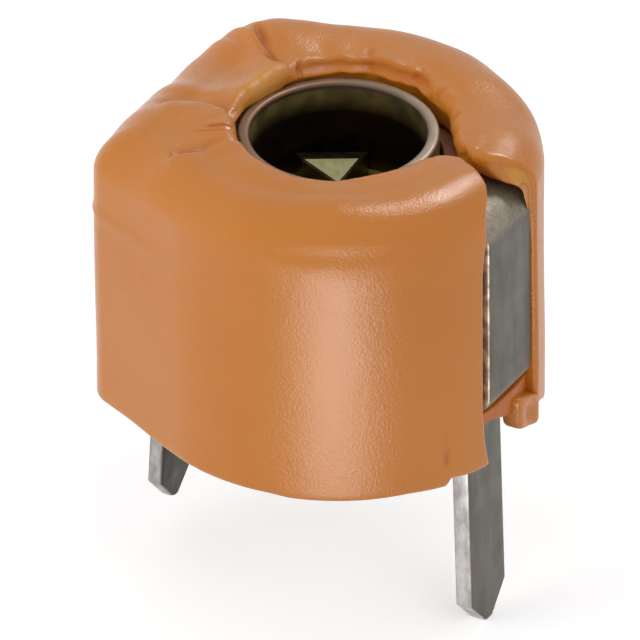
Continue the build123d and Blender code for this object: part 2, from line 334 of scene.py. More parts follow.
def slot_turns(places, columns, far, near):
    """Turns of a row of columns between the slot's far and near edges at each place along the section.

    The turn is T(w) + a (1 - w/e)^2 + b (1 - (1-w)/e)^2 with w the column's share, T an even sweep
    between SLOT_TURNS, and a and b what the edges lack, both terms only within e = EDGE_SHARE of their
    end.
    """
    first, last = SLOT_TURNS
    lack_far = np.interp(places, *np.array(far).T) - first
    lack_near = np.interp(places, *np.array(near).T) + 360.0 - last
    by_far = np.clip(1.0 - columns / EDGE_SHARE, 0.0, 1.0) ** 2
    by_near = np.clip(1.0 - (1.0 - columns) / EDGE_SHARE, 0.0, 1.0) ** 2
    return first + (last - first) * columns + np.outer(lack_far, by_far) + np.outer(lack_near, by_near)


def cover_section(reach):
    """Rows of the cover's section: part, share of it (the height on the wall) and place along it."""
    wall = np.array(WALL_ROWS)
    shoulder = np.linspace(0.0, 1.0, SHOULDER_ROWS)
    crown = np.linspace(0.0, 1.0, CROWN_ROWS + 1)[1:]
    lip = np.linspace(0.0, 1.0, LIP_ROWS + 1)[1:]
    part = np.repeat([WALL, SHOULDER, CROWN, LIP], [len(wall), len(shoulder), len(crown), len(lip)])
    place = np.concatenate([
        wall,
        SHOULDER_START + reach * (1.0 - np.cos(np.radians(90.0 * shoulder))),
        SHOULDER_START + reach + (LIP_PLACE - reach) * crown,
        SHOULDER_START + LIP_PLACE + LIP_LENGTH * np.sin(np.radians(90.0 * lip)),
    ])
    return part, np.concatenate([wall, shoulder, crown, lip]), place


def cover_outside(settings, part, share, turns):
    """Points of the cover's outer face before its folds.

    The wall stands on the outline with a small rounded foot. The shoulder is a superellipse quarter,
    inset r (1 - cos^p a) and height z0 + h sin^p a for a from 0 to 90. The crown runs straight in plan
    to the lip, its height blended by 3s^2 - 2s^3 with a dome 0.010 sin^2(pi s) on it. The lip is an
    ellipse quarter into the opening, then a straight run down to just above the ceiling.
    """
    reach, flat, corner = settings.shoulder / MM, settings.flat / MM, settings.corner / MM
    radius, ceiling = settings.radius / MM, settings.ceiling / MM
    foot, power = turn_table(turns, FOOT_HEIGHT), turn_table(turns, SHOULDER_POWER)
    crown, lip_height = turn_table(turns, CROWN_HEIGHT), turn_table(turns, LIP_HEIGHT)
    lip, rounding = turn_table(turns, LIP_RADIUS), turn_table(turns, LIP_ROUND)
    quarter = np.radians(90.0 * np.clip(share, 0.0, 1.0))
    foot_width, foot_rise = FOOT_ROUND
    in_foot = 1.0 - np.clip(share / foot_rise, 0.0, 1.0)
    inset = np.select(
        [part == WALL, part == SHOULDER],
        [foot_width * (1.0 - np.sqrt(1.0 - in_foot ** 2)), reach * (1.0 - np.cos(quarter) ** power)],
        reach)
    softened = np.maximum(corner - 0.55 * inset, 0.16)
    outline = outline_radius(turns, radius - inset, flat - inset, softened)
    crest = lip + rounding
    bend = np.radians(90.0 * np.clip(share / LIP_BEND, 0.0, 1.0))
    drop = np.clip((share - LIP_BEND) / (1.0 - LIP_BEND), 0.0, 1.0)
    clear_of_tube = np.maximum(lip + 0.03, 1.55)
    lip_plan = crest - rounding * np.sin(bend) + (clear_of_tube - lip) * ease(drop, 0.0, 0.25)
    turned_down = lip_height - LIP_FALL * rounding * (1.0 - np.cos(bend))
    straight_run = ceiling + 0.07 - (lip_height - LIP_FALL * rounding)
    plan = np.select([part == CROWN, part == LIP], [outline + (crest - outline) * share, lip_plan], outline)
    height = np.select(
        [part == WALL, part == SHOULDER, part == CROWN],
        [foot + share * (SHOULDER_START - foot) / SHOULDER_START,
         SHOULDER_START + (crown - SHOULDER_START) * np.sin(quarter) ** power,
         crown + (lip_height - crown) * ease(share, 0.0, 1.0) + 0.010 * np.sin(np.pi * share) ** 2],
        turned_down + straight_run * drop)
    return polar_points(plan, turns, height)


def cover_inside(settings, part, share, turns):
    """Points of the cover's inner face, row for row behind the outer ones.

    The wall stands inside the outline by its thickness, thinner where the torn edge hangs over the
    strap. A quarter round leads to the flat ceiling, which rises towards the torn edge and runs in to
    the lip's foot.
    """
    wall, flat, corner = settings.wall / MM, settings.flat / MM, settings.corner / MM
    radius, ceiling = settings.radius / MM, settings.ceiling / MM
    torn_wall, torn_rise, torn_sag = 0.10, 0.22, 0.10
    foot, lip = turn_table(turns, FOOT_HEIGHT), turn_table(turns, LIP_RADIUS)
    quarter = np.radians(90.0 * np.clip(share, 0.0, 1.0))
    off = (turns + 180.0) % 360.0 - 180.0
    torn = (1.0 - ease(off, 14.0, 17.0)) * ease(off, -2.0, 2.0)
    high = np.where(part == WALL, ease(share, 3.1, 3.6), 1.0)
    thickness = wall - (wall - torn_wall) * torn * high
    inward = np.select([part == WALL, part == SHOULDER], [0.0, ease(share, 0.2, 1.0)], 1.0)
    over_slot = (1.0 - ease(off, 8.0, 24.0)) * ease(off, -9.0, 0.0)
    lifted = ceiling + (torn_rise - torn_sag * inward) * over_slot
    inset = thickness + CEILING_FILLET * np.select(
        [part == WALL, part == SHOULDER], [0.0, 1.0 - np.cos(quarter)], 1.0)
    outline = outline_radius(turns, radius - inset, flat - inset, np.maximum(corner - inset, 0.12))
    start = lifted - CEILING_FILLET
    height = np.select(
        [part == WALL, part == SHOULDER],
        [foot + share * (start - foot) / SHOULDER_START, start + CEILING_FILLET * np.sin(quarter)],
        lifted)
    foot_of_lip = np.maximum(lip + 0.12, 1.62)
    middle = (outline + foot_of_lip) / 2
    plan = np.select(
        [part == CROWN, part == LIP],
        [outline + (middle - outline) * share, middle + (foot_of_lip - middle) * share],
        outline)
    return polar_points(plan, turns, height)


# A fold of the crown: its points in plan, depth and half width of the cut, then how much the surface
# rises beside it and how far that reaches, on the right of its way and on the left, and last how deep
# the painted crease shade is, how far that reaches and on which side, with 1 right, -1 left and 0 both
Fold = namedtuple("Fold", "line depth width right left colour")
FOLDS = [
    Fold([(-2.36, 1.68), (-2.25, 1.56), (-2.07, 1.37), (-1.83, 1.13), (-1.63, 0.97), (-1.46, 0.90)],
         0.070, 0.040, (0.035, 0.20), (-0.055, 0.13), (0.95, 0.085, -1)),
    Fold([(-2.64, -0.78), (-2.47, -0.70), (-2.23, -0.58), (-1.95, -0.54), (-1.73, -0.54), (-1.55, -0.60),
          (-1.37, -0.72)],
         0.035, 0.026, (0.080, 0.42), (-0.120, 0.30), (0.75, 0.21, -1)),
    Fold([(-1.70, -1.29), (-1.49, -1.21), (-1.27, -1.12)],
         0.025, 0.020, (0.012, 0.10), (-0.012, 0.10), (0.55, 0.030, 0)),
    Fold([(-1.58, -1.13), (-1.42, -1.05), (-1.26, -0.96)],
         0.045, 0.024, (0.020, 0.08), (0.010, 0.08), (0.95, 0.045, 0)),
    Fold([(-1.78, -1.94), (-1.62, -1.90), (-1.47, -1.83), (-1.36, -1.74), (-1.28, -1.60), (-1.17, -1.49),
          (-1.02, -1.37)],
         0.065, 0.034, (0.055, 0.24), (-0.095, 0.14), (1.50, 0.13, -1)),
    Fold([(-1.28, 1.12), (-1.20, 0.98), (-1.08, 0.84)],
         0.035, 0.034, (0.02, 0.14), (0.0, 0.1), (0.85, 0.04, 0)),
    Fold([(-0.53, 1.86), (-0.41, 1.68), (-0.30, 1.46)],
         0.022, 0.075, (0.02, 0.14), (0.02, 0.14), (0.60, 0.08, 0)),
    Fold([(0.42, 1.82), (0.40, 1.66), (0.36, 1.50)], 0.035, 0.060, (0.0, 0.1), (0.0, 0.1), (0.35, 0.08, 0)),
    Fold([(0.98, 1.52), (0.90, 1.38), (0.82, 1.26)], 0.040, 0.050, (0.0, 0.1), (0.0, 0.1), (0.45, 0.07, 0)),
    Fold([(1.44, 1.10), (1.32, 1.00), (1.20, 0.92)], 0.035, 0.060, (0.0, 0.1), (0.0, 0.1), (0.40, 0.08, 0)),
]
# Swellings and hollows of the crown: height, then centre in plan, half length, half width and turn
SWELLINGS = [
    (0.105, ((-1.53, 0.38), 0.42, 0.14, 78.0)),
    (0.040, ((-1.38, 0.66), 0.13, 0.13, 60.0)),
    (0.035, ((-1.56, 0.14), 0.11, 0.11, 80.0)),
    (0.025, ((-1.47, 0.42), 0.09, 0.09, 80.0)),
    (0.035, ((-1.25, 1.28), 0.30, 0.16, 140.0)),
    (0.040, ((-0.82, 1.55), 0.24, 0.14, 152.0)),
    (0.045, ((-0.14, 1.72), 0.26, 0.14, 0.0)),
    (0.040, ((0.42, 1.66), 0.18, 0.13, 165.0)),
    (0.035, ((0.92, 1.42), 0.20, 0.13, 150.0)),
    (-0.045, ((-2.35, -0.25), 0.42, 0.26, 0.0)),
    (-0.030, ((-2.30, -1.35), 0.50, 0.30, 45.0)),
    (-0.012, ((-0.20, -2.20), 0.90, 0.26, 0.0)),
    (0.020, ((-1.30, -1.95), 0.60, 0.30, 130.0)),
    (0.006, ((1.20, -1.90), 0.70, 0.30, 35.0)),
    (-0.018, ((1.90, 1.60), 0.60, 0.40, 120.0)),
]
# Places where melted plastic has set smooth and yellowish: centre in plan, half length, half width, turn
WAX = [((-1.50, 0.36), 0.46, 0.17, 78.0), ((-1.22, -1.44), 0.20, 0.06, 48.0)]


def fold_relief(x, y, fold):
    """Height that one fold adds at each place, and how deep its painted shade is there.

    With d the distance to the fold's line, s its sign by side and k fading both ends, the height is
    k (rise exp(-(d/reach)^2) (1 - exp(-(d/w)^2)) - depth exp(-(d/w)^2)), with the rise and reach of
    that side. The painted shade is k tone exp(-(d/r)^2) on its own side, and only in the cut on the other.
    """
    line = np.array(fold.line)
    runs = np.linalg.norm(np.diff(line, axis=0), axis=1)
    before = np.concatenate([[0.0], np.cumsum(runs)])
    whole = before[-1]
    nearest, side, along = np.full(x.shape, 9.0), np.ones(x.shape), np.zeros(x.shape)
    for start, end, run, passed in zip(line[:-1], line[1:], runs, before[:-1]):
        way = (end - start) / run
        share = np.clip((x - start[0]) * way[0] + (y - start[1]) * way[1], 0.0, run)
        off_x, off_y = x - start[0] - share * way[0], y - start[1] - share * way[1]
        distance = np.hypot(off_x, off_y)
        closer = distance < nearest
        nearest = np.where(closer, distance, nearest)
        side = np.where(closer, np.sign(off_x * way[1] - off_y * way[0]), side)
        along = np.where(closer, passed + share, along)
    fade = ease(along, 0.0, 0.22 * whole) * (1.0 - 0.35 * ease(along, 0.8 * whole, whole))
    core = hump(nearest, 0.0, fold.width)
    rise, reach = (np.where(side > 0, right, left) for right, left in zip(fold.right, fold.left))
    tone, tone_reach, tone_side = fold.colour
    height = fade * (rise * hump(nearest, 0.0, reach) * (1.0 - core) - fold.depth * core)
    spread = np.where(side * tone_side < 0, fold.width, tone_reach)
    return height, fade * tone * hump(nearest, 0.0, spread)


def oval(x, y, centre, half_length, half_width, turn):
    """exp(-(u/a)^2 - (v/b)^2) in axes u and v about the centre, turned by that angle."""
    cosine, sine = np.cos(np.radians(turn)), np.sin(np.radians(turn))
    along = (x - centre[0]) * cosine + (y - centre[1]) * sine
    across = (y - centre[1]) * cosine - (x - centre[0]) * sine
    return np.exp(-(along / half_length) ** 2 - (across / half_width) ** 2)


def crown_relief(points):
    """Height of all folds and swellings at the crown's points, the folds' painted shade and the smooth
    places.

    A swelling is its height times an oval, and a smooth place an oval. A slow sum of three sines makes
    the crown slightly uneven.
    """
    x, y = points[..., 0], points[..., 1]
    height = 0.008 * (np.sin(4.1 * x + 1.7 * y) + np.sin(2.3 * x - 4.7 * y + 1.0) + np.sin(6.1 * y + 2.0))
    tone, smooth = np.zeros(x.shape), np.zeros(x.shape)
    for fold in FOLDS:
        raised, colour = fold_relief(x, y, fold)
        height, tone = height + raised, np.maximum(tone, colour)
    for rise, place in SWELLINGS:
        height = height + rise * oval(x, y, *place)
    for place in WAX:
        smooth = np.maximum(smooth, oval(x, y, *place))
    return height, tone, smooth


def lip_relief(points, share):
    """The low roll at the foot of the back lip and the hollow behind it: height, and painted shade in the
    hollow.

    With s the way round the lip, the height is 0.042 exp(-((s-0.91)/0.12)^2)
    - 0.050 exp(-((s-0.52)/0.24)^2), only over the turns 62 to 152, and less where the roll is nicked at
    100.5 and 84. It ends where the lip has turned down.
    """
    turns = np.degrees(np.arctan2(points[..., 1], points[..., 0]))
    way = share / LIP_BEND
    window = ease(turns, 62.0, 72.0) * (1.0 - ease(turns, 132.0, 152.0)) * (share > 0)
    nicks = 1.0 - 0.9 * hump(turns, 100.5, 3.4) - 0.5 * hump(turns, 84.0, 2.4)
    height = 0.042 * nicks * hump(way, 0.91, 0.12) - 0.050 * hump(way, 0.52, 0.24)
    # the second value paints shade of deeper orange into the hollow behind the roll
    return window * height * (1.0 - ease(share, 0.72, 0.80)), 0.8 * window * hump(way, 0.56, 0.28)


def wall_relief(points):
    """Height added on the upright wall, and the depth of its nick as a share, which also paints shade into
    the nick.

    A mould ridge 0.022 exp(-((z - 3.28)/0.055)^2) runs round the flat end over the turns 180 to 245.
    The nick by the foot's step is -0.05 exp(-((t - 330 + 2.5 (z - 0.5))/0.7)^2) for turns t, between the
    heights 0.3 and 0.6. The wall swells slowly by 0.010 sin(3t + 1.2z). In front its top leans in by
    0.133 (z - 3.5)^2 up to the shoulder and keeps that slope for a little way.
    """
    z = points[..., 2]
    turns = np.degrees(np.arctan2(points[..., 1], points[..., 0])) % 360.0
    ridge = 0.022 * hump(z, 3.28, 0.055) * ease(turns, 180.0, 196.0) * (1.0 - ease(turns, 225.0, 245.0))
    nick = hump(turns + 2.5 * (z - 0.5), 330.0, 0.7) * ease(z, 0.26, 0.34) * (1.0 - ease(z, 0.50, 0.62))
    swell = 0.010 * np.sin(3.0 * np.radians(turns) + 1.2 * z) * ease(z, 0.3, 1.0)
    lean = 0.133 * np.clip(z - 3.5, 0.0, 0.43) ** 2 + 0.114 * np.clip(z - 3.93, 0.0, 0.2)
    lean *= ease(turns, 262.0, 282.0) * (1.0 - ease(turns, 318.0, 334.0)) * (1.0 - ease(z, 4.1, 4.5))
    return (ridge - 0.05 * nick + swell) * (1.0 - ease(z, 3.8, 4.1)) - lean, nick


def surface_normals(points):
    """Outward unit normals of the cover's grid, the cross product of its two central differences."""
    normal = np.cross(np.gradient(points, axis=1), np.gradient(points, axis=0))
    normal = normal / np.maximum(np.linalg.norm(normal, axis=-1, keepdims=True), 1e-12)
    wall_rows = slice(3, 10)
    return normal * np.sign(np.sum(normal[wall_rows, :, :2] * points[wall_rows, :, :2]))


def cover_relief(points, normal, lip_share):
    """The outer face with every fold, nick and roll on it, and its marks for painted shade in folds, nick
    and hollow and for smooth plastic.
    """
    upper = ease(points[..., 2], SHOULDER_START - 0.05, SHOULDER_START + 0.35)
    # the folds fade out where the lip turns down beside the tube
    upper = upper * (1.0 - ease(lip_share, 0.45, 0.85))
    crown_height, crown_tone, smooth = crown_relief(points)
    wall_height, nick = wall_relief(points)
    lip_height, lip_tone = lip_relief(points, lip_share)
    points = points + normal * (upper * crown_height + wall_height + lip_height)[..., None]
    # painted shade: deeper orange in the folds, the wall's nick and the lip's hollow
    deep = np.clip(upper * crown_tone + nick / 1.2 + lip_tone, 0.0, 1.0)
    return points, deep, np.clip(1.2 * smooth * ease(points[..., 2], 4.0, 4.2), 0.0, 1.0)


def rounded_slot_edges(points, normal, place):
    """The outer face with its two ends at the slot rounded.

    Within e of an end the face sinks by a quarter circle, e (1 - sqrt(1 - (1 - d/e)^2)) with d the
    distance along the row.
    """
    steps = np.linalg.norm(np.diff(points, axis=1), axis=-1)
    from_far = np.concatenate([np.zeros((len(points), 1)), np.cumsum(steps, axis=1)], axis=1)
    from_near = from_far[:, -1:] - from_far
    far_edge, near_edge = (0.07 + 0.10 * ease(place, 4.1, 4.45))[:, None], 0.06
    for distance, edge in ((from_far, far_edge), (from_near, near_edge)):
        lack = np.clip(1.0 - distance / edge, 0.0, 1.0)
        points = points - normal * (edge * (1.0 - np.sqrt(1.0 - lack ** 2)))[..., None]
    return points


def slot_cap(outer, inner, neighbour, bulge):
    """Points across the wall's thickness at one edge of the slot.

    They lie at o + (i - o) s + bulge sin(pi s) n, with o and i on the outer and inner face and n the
    unit direction away from the neighbouring column.
    """
    share = (np.arange(1, CAP_COLUMNS + 1) / (CAP_COLUMNS + 1))[None, :, None]
    away = outer - neighbour
    away = away / np.maximum(np.linalg.norm(away, axis=-1, keepdims=True), 1e-9)
    return outer[:, None] + (inner - outer)[:, None] * share + bulge * np.sin(np.pi * share) * away[:, None]


def build_cover(settings, material):
    """The whole cover as one closed shell: outer face, inner face, foot, lip and the slot's two edges."""
    part, share, place = cover_section(settings.shoulder / MM)
    rows, count = len(part), COVER_COLUMNS
    part, share = part[:, None], share[:, None]
    columns = cover_columns(count)
    outside = cover_outside(settings, part, share, slot_turns(place, columns, SLOT_FAR, SLOT_NEAR))
    inside = cover_inside(
        settings, part, share, slot_turns(place, columns, SLOT_FAR_INSIDE, SLOT_NEAR_INSIDE))
    normal = surface_normals(outside)
    outside, deep, smooth = cover_relief(outside, normal, np.where(part == LIP, share, 0.0))
    outside = rounded_slot_edges(outside, normal, place)
    points = [outside.reshape(-1, 3), inside[::-1].reshape(-1, 3)]
    faces = grid_faces(2 * rows, count, close_rows=True).tolist()
    plain = np.zeros(rows * count)
    fold, wax = [deep.ravel(), plain], [smooth.ravel(), plain]
    # the torn edge is painted deeper orange up on the crown, partly its own colour and partly painted shade,
    # and is smooth and paler where it drips over the strap
    edge_fold = 0.20 + 0.30 * ease(place, 4.3, 4.75)
    edge_wax = ease(place, 3.2, 3.4) * (1.0 - ease(place, 4.15, 4.6))
    row, base = np.arange(rows), 2 * rows * count
    for column, neighbour, bulge in ((0, 1, 0.03), (count - 1, count - 2, 0.025)):
        cap = slot_cap(outside[:, column], inside[:, column], outside[:, neighbour], bulge)
        numbers = base + np.arange(rows * CAP_COLUMNS).reshape(rows, CAP_COLUMNS)
        ladder = np.column_stack([row * count + column, numbers, (2 * rows - 1 - row) * count + column])
        faces += ladder.ravel()[grid_faces(rows, CAP_COLUMNS + 2)].tolist()
        faces += [ladder[0].tolist(), ladder[-1].tolist()]
        points.append(cap.reshape(-1, 3))
        fold.append(np.repeat(edge_fold, CAP_COLUMNS))
        wax.append(np.repeat(edge_wax, CAP_COLUMNS))
        base += numbers.size
    return add_piece(
        "cover_shell", np.concatenate(points), faces, material, "base",
        marks={"fold": np.concatenate(fold), "wax": np.concatenate(wax)}, replaces=("cover",))


def rounded_section(width, height, edge):
    """Closed outline of a rectangle about the origin with quarter-round corners, as (n, 2) points.

    Each corner is c + edge (cos a, sin a) with a over its own quarter.
    """
    angle = np.radians(np.linspace(0.0, 90.0, 4))
    points = []
    for quarter, corner in enumerate(((1, 1), (-1, 1), (-1, -1), (1, -1))):
        turn = angle + np.pi / 2 * quarter
        centre = np.array(corner) * (width / 2 - edge, height / 2 - edge)
        points.append(centre + edge * np.column_stack([np.cos(turn), np.sin(turn)]))
    return np.concatenate(points)


def build_sill(material):
    """The sunk sill across the slot's foot: a rounded rectangle carried along an arc about the axis.

    A section point (a, b) lies at radius 2.655 + a and at height u + (0.79 - u)(b + 0.5), with u the
    height of the underside there.
    """
    radius, top, reach = 2.655, 0.79, 14.6
    section = rounded_section(0.34, 1.0, 0.05)
    turns = np.linspace(-reach, reach, 25)[:, None]
    # its underside drops from 0.60 at the near end to 0.40 behind the bead
    bottom = 0.60 - 0.20 * ease(turns, -12.0, 4.0)
    points = polar_points(radius + section[:, 0], turns, bottom + (top - bottom) * (section[:, 1] + 0.5))
    # painted shade: the whole sill is deep orange, as it sits sunk in the slot's foot under the strap
    return add_piece(
        "cover_sill", points, tube_faces(len(turns), len(section)), material, "base",
        marks={"fold": np.full(points[..., 0].size, 0.9)}, sharp_above=50.0)


def build_bead(material):
    """The bead of spilt plastic in the slot's far foot corner, a superellipsoid with a dished front.

    A point is c + s * (cos^p v cos^p u, cos^p v sin^p u, sin^p v) with p = 0.42 and signed powers, and
    the front is drawn in by 0.09 exp(-(d/0.16)^2) about its middle. It hangs lower by 0.36 y at its far
    end, and its underside waves a little.
    """
    rows, count, power, droop = 30, 48, 0.42, 0.36
    half_x, half_y, half_z = 0.175, 0.32, 0.28
    centre = (2.790, 0.42, 0.29)
    dish_depth, dish_radius = 0.09, 0.16
    v = np.radians(np.linspace(-89.0, 89.0, rows))[:, None]
    u = np.radians(np.linspace(0.0, 360.0, count, endpoint=False))
    x, y, z = (
        np.sign(value) * np.abs(value) ** power
        for value in (np.cos(v) * np.cos(u), np.cos(v) * np.sin(u), np.sin(v) + 0 * u))
    x, y, z = half_x * x, half_y * y, half_z * z
    dish = dish_depth * np.exp(-((y - 0.02) ** 2 + (z + 0.02) ** 2) / dish_radius ** 2)
    x = x - np.where(x > 0, dish, 0.0)
    z = z - droop * y + 0.02 * np.sin(5.0 * y + 1.0) * (z < 0)
    # painted shade: the bead's dish is deeper orange
    return add_piece(
        "cover_bead", np.stack([x, y, z], axis=-1) + centre, tube_faces(rows, count), material, "base",
        marks={"fold": np.clip(dish * 7.0, 0.0, 1.0)})


# Strips

# length of a lead's point, width of its tip, and length in which the strap narrows to the lead
LEAD_POINT = 0.42
LEAD_TIP = 0.22
LEAD_NECK = 0.02


def rounded_path(corners, radii):
    """Path through corners in the XZ plane, with each inner corner replaced by an arc of its radius.

    An arc leaves both runs at r tan(a/2) from the corner, a being the turn there, and keeps distance r
    to its centre.
    """
    corners = np.array(corners)
    points = [corners[0]]
    for before, corner, after, radius in zip(corners[:-2], corners[1:-1], corners[2:], radii):
        come = (corner - before) / np.linalg.norm(corner - before)
        go = (after - corner) / np.linalg.norm(after - corner)
        turn = np.arccos(np.clip(come @ go, -1.0, 1.0))
        start = corner - come * radius * np.tan(turn / 2)
        side = go - come * (come @ go)
        side = side / np.linalg.norm(side)
        angle = np.linspace(0.0, turn, 10)[:, None]
        points.extend(start + radius * (np.sin(angle) * come + (1.0 - np.cos(angle)) * side))
    points.append(corners[-1])
    points = np.array(points)
    length = np.concatenate([[0.0], np.cumsum(np.linalg.norm(np.diff(points, axis=0), axis=1))])
    keep = np.concatenate([[True], np.diff(length) > 1e-6])
    return points[keep], length[keep]


def strip_mesh(settings, path, length, foot, edge, thicker=1.0):
    """The strap, narrowed at the foot to a pointed lead: a rounded rectangle carried along a path.

    A section point (a, b) lies at path + b g n along the path's own normal n in the XZ plane, and at
    y = a. The gauge g is 1 on the strap and grows to thicker on the lead. Returns the points, the faces
    and the marks of the cut edges on the strap and of the bare edges on the lead.
    """
    thickness, width, lead = settings.thickness / MM, settings.width / MM, settings.lead_width / MM
    total, spacing, gauge_run = length[-1], 0.12, 0.4
    widths = [(0.0, width), (foot, width), (foot + LEAD_NECK, lead), (total - LEAD_POINT, lead),
              (total, LEAD_TIP)]
    extra = np.array([row[0] for row in widths])
    stations = np.unique(np.round(np.concatenate([
        length, extra[(extra > 0) & (extra < total)], np.arange(0.0, total, spacing)]), 6))
    centre = np.column_stack([np.interp(stations, length, path[:, k]) for k in (0, 1)])
    heading = np.gradient(centre, stations, axis=0)
    heading = heading / np.linalg.norm(heading, axis=1, keepdims=True)
    base = rounded_section(1.0, thickness, edge)
    right = np.sign(base[:, 0])
    across = np.outer(np.interp(stations, *np.array(widths).T) / 2, right) + base[:, 0] - 0.5 * right
    gauge = np.interp(stations, [0.0, foot, foot + gauge_run, total], [1.0, 1.0, thicker, thicker])
    points = np.stack([
        centre[:, 0, None] - np.outer(gauge * heading[:, 1], base[:, 1]),
        across,
        centre[:, 1, None] + np.outer(gauge * heading[:, 0], base[:, 1]),
    ], axis=-1)
    side = np.abs(base[:, 1]) < thickness / 2 - edge * 0.4
    high = ease(centre[:, 1], 0.6, 1.0)
    return (points.reshape(-1, 3), tube_faces(len(stations), len(base)),
            np.outer(high, side).ravel(), np.outer(1.0 - high, side).ravel())


def build_rotor_terminal(settings, material):
    """Strap, joggle and lead as one carried section, and the yoke as a ring of the same strip."""
    yoke_radius, yoke_width, yoke_height = 1.778, 0.5, 3.925
    strap_x, lead_x, splay = 2.725, 2.245, np.tan(np.radians(1.9))
    joggle_height, neck_height, bend_height, tip_height = 0.885, 0.76, 0.55, -3.175
    edge = 0.035
    path, length = rounded_path(
        [(1.86, yoke_height), (strap_x, yoke_height), (strap_x, joggle_height), (lead_x, joggle_height),
         (lead_x + splay * 0.3, bend_height), (lead_x + splay * 3.1, tip_height)],
        [0.30, 0.16, 0.16, 0.3],
    )
    foot = length[np.argmin(np.abs(path[:, 1] - neck_height) + np.abs(path[:, 0] - lead_x))]
    points, faces, cut, bare = strip_mesh(settings, path, length, foot, edge, thicker=1.1)
    # the strap carries painted brown shade and orange reflection like the yoke up to its bend, under the
    # cover, and a mottled painted highlight on the bend and at its foot
    x, z = points[:, 0], points[:, 2]
    painted_shade = (1.0 - ease(x, 2.16, 2.30)) * ease(z, 3.3, 3.6)
    foot_highlight = ease(x, 2.62, 2.70) * (1.0 - ease(z, 0.95, 1.04))
    # painted highlight: paler mottled tin on the top bend and along the strap's foot
    bend = np.maximum(ease(x, 2.22, 2.36) * ease(z, 3.60, 3.78), 0.75 * foot_highlight)
    section = rounded_section(yoke_width, settings.thickness / MM, edge)
    turns = np.linspace(0.0, 360.0, 120, endpoint=False)[:, None]
    ring = polar_points(yoke_radius + section[:, 0], turns, yoke_height + section[:, 1])
    ring_cut = np.tile(np.abs(section[:, 1]) < 0.1, len(turns))
    faces += grid_faces(len(turns), len(section), True, True, start=len(points)).tolist()
    plain = np.zeros(ring_cut.size)
    marks = {
        "cut": (cut, ring_cut),
        "bare": (bare, plain),
        "bend": (bend, plain),
        "painted_shade": (painted_shade, plain + 1.0),
    }
    return add_piece(
        "rotor_terminal_strip", np.concatenate([points, ring.reshape(-1, 3)]), faces, material, "base",
        marks={key: np.concatenate(pair) for key, pair in marks.items()},
        replaces=("rotor_terminal",), sharp_above=40.0)


def build_stator_terminal(settings, material):
    """Tab, strap and lead of the stator's terminal as one carried section."""
    strap_x, tab_height, bend_height, tip_x, tip_height = -2.755, 2.375, 0.1, -2.92, -2.62
    path, length = rounded_path(
        [(-2.40, tab_height), (strap_x, tab_height), (strap_x, bend_height), (tip_x, tip_height)],
        [0.15, 0.5])
    foot = length[-1] + tip_height - 0.40
    points, faces, cut, bare = strip_mesh(settings, path, length, foot, 0.080)
    return add_piece(
        "stator_terminal_strip", points, faces, material, "base",
        marks={"cut": 0.2 * cut, "bare": 0.8 * bare, "bend": 0 * cut, "painted_shade": 0 * cut},
        replaces=("stator_terminal",), sharp_above=40.0)


# Adjuster

LAND_TURNS = (30.0, 120.0, 210.0, 300.0)


def build_adjuster_body(settings, material):
    """The adjuster's turned body as one profile carried round the axis.

    The profile runs in (radius, height) from the spindle's foot over the flange and up the tube, round
    its rim and down the bore to the recess's floor, and a polygon closes each end. The drawn tube's rim
    is lower on one side: z falls by 0.055 - 0.03 cos(t - t0) near the rim.
    """
    tube, bore = settings.tube / MM, settings.bore / MM
    rim, floor = settings.rim / MM, settings.floor / MM
    spindle, flange, flange_foot, flange_top, edge = 0.6, 1.93, 2.82, 3.3, 0.06
    angle = np.radians(np.linspace(0.0, 90.0, 6))
    rim_out = np.column_stack([tube - edge + edge * np.cos(angle), rim - edge + edge * np.sin(angle)])
    rim_in = np.column_stack([bore + edge - edge * np.sin(angle), rim - edge + edge * np.cos(angle)])
    profile = np.concatenate([
        [[spindle - 0.1, 0.4], [spindle, 0.5], [spindle, flange_foot], [flange, flange_foot],
         [flange, flange_foot + 0.03], [flange, flange_top - 0.03], [flange - 0.03, flange_top],
         [tube + 0.03, flange_top], [tube, flange_top + 0.03], [tube, 4.0]],
        rim_out,
        rim_in,
        [[bore, 4.1], [bore, 3.7], [bore, floor + 0.05], [bore - 0.05, floor], [0.9, floor], [0.5, floor]],
    ])
    radius, height = profile[:, :1], profile[:, 1:]
    turns = np.linspace(0.0, 360.0, 160, endpoint=False)
    sag = 0.055 - 0.03 * np.cos(np.radians(turns - 119.5))
    points = polar_points(radius, turns, height - ease(height, 3.9, rim) * sag)
    return add_piece(
        "adjuster_body", points, tube_faces(len(profile), len(turns)), material, "rotor",
        replaces=("adjuster",), sharp_above=40.0)


